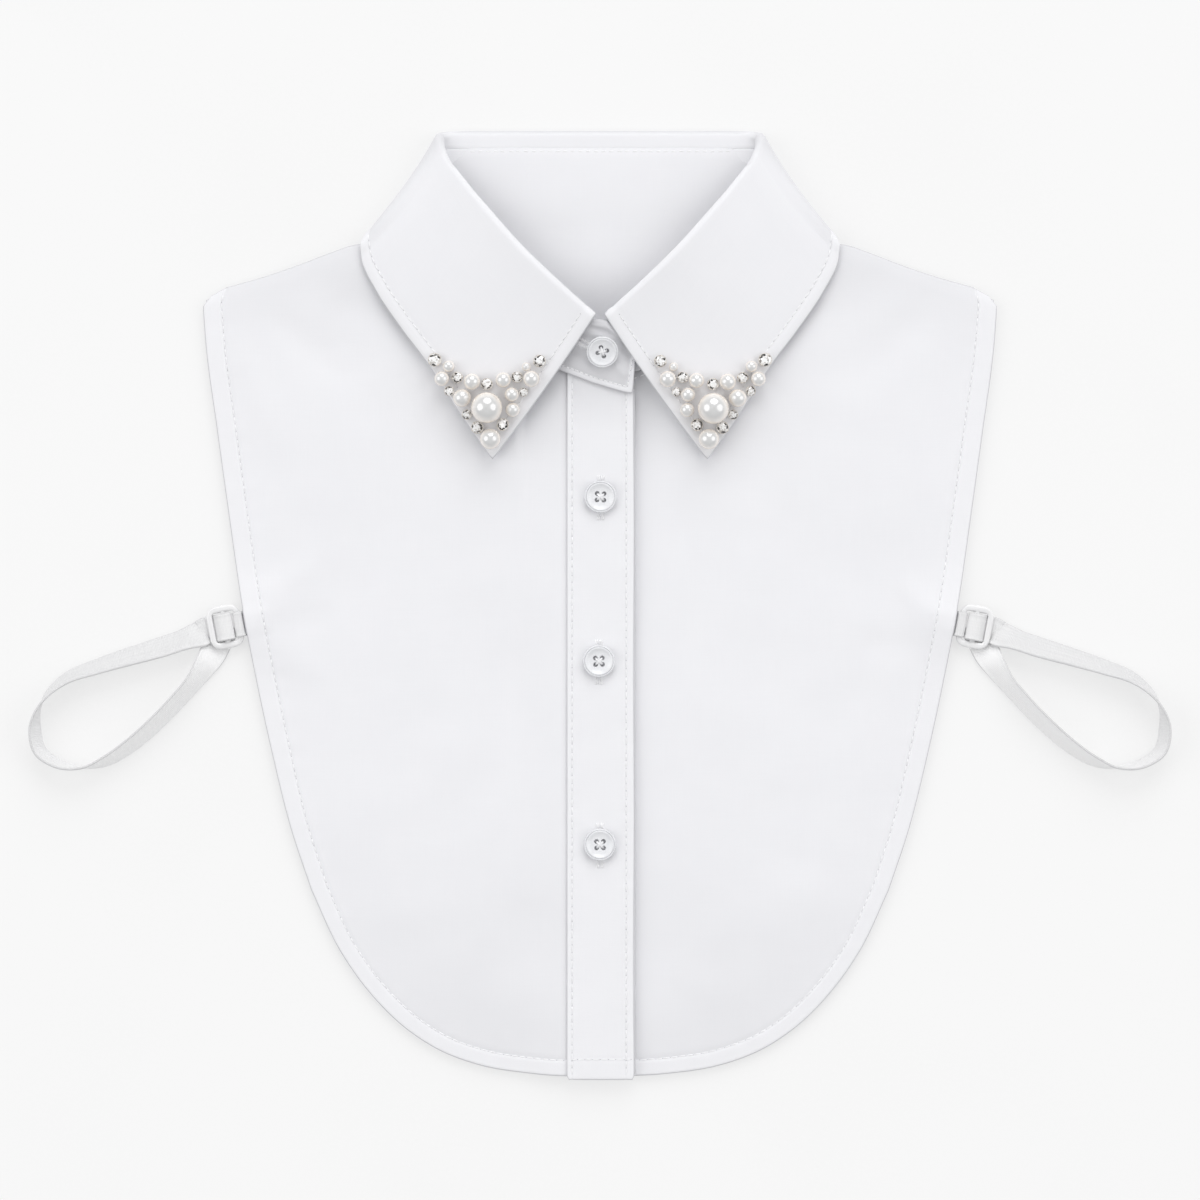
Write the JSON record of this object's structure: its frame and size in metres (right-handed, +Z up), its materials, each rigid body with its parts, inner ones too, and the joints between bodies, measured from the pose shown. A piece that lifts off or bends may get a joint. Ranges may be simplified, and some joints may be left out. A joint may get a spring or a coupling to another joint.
{
  "type": "detachable shirt collar",
  "caption": "Detachable shirt collar with a bib front, laid flat: pointed leaf with bead clusters, buttoned placket, curved hem, elastic side loops with sliders.",
  "frame": {"origin": "middle of the flat garment's bounding box, on the surface it lies on", "axes": "+X to the right as seen from above with the hem towards the viewer, +Y towards the neck, +Z up out of the garment's front"},
  "size_m": [0.433, 0.3599, 0.0211],
  "materials": {
    "cotton": "white plain-weave shirting",
    "elastic": "white ribbed elastic with a satin face",
    "slider_plastic": "milky moulded plastic",
    "button_plastic": "glossy white",
    "pearl": "ivory pearl lacquer"
  },
  "bodies": {
    "root": {"back_panel": "cotton", "front_left": "cotton", "front_right": "cotton", "placket": "cotton", "collar_leaf": "cotton", "collar_stand": "cotton", "button_1": "button_plastic", "button_2": "button_plastic", "button_3": "button_plastic", "button_4": "button_plastic", "pearl_left_1": "pearl", "pearl_left_2": "pearl", "pearl_left_3": "pearl", "pearl_left_4": "pearl", "pearl_left_5": "pearl", "pearl_left_6": "pearl", "pearl_left_7": "pearl", "pearl_right_1": "pearl", "pearl_right_2": "pearl", "pearl_right_3": "pearl", "pearl_right_4": "pearl", "pearl_right_5": "pearl", "pearl_right_6": "pearl", "pearl_right_7": "pearl", "slider_left": "slider_plastic", "slider_right": "slider_plastic", "strap_left": "elastic", "strap_right": "elastic", "tab_left": "elastic", "tab_right": "elastic"}
  },
  "joints": []
}
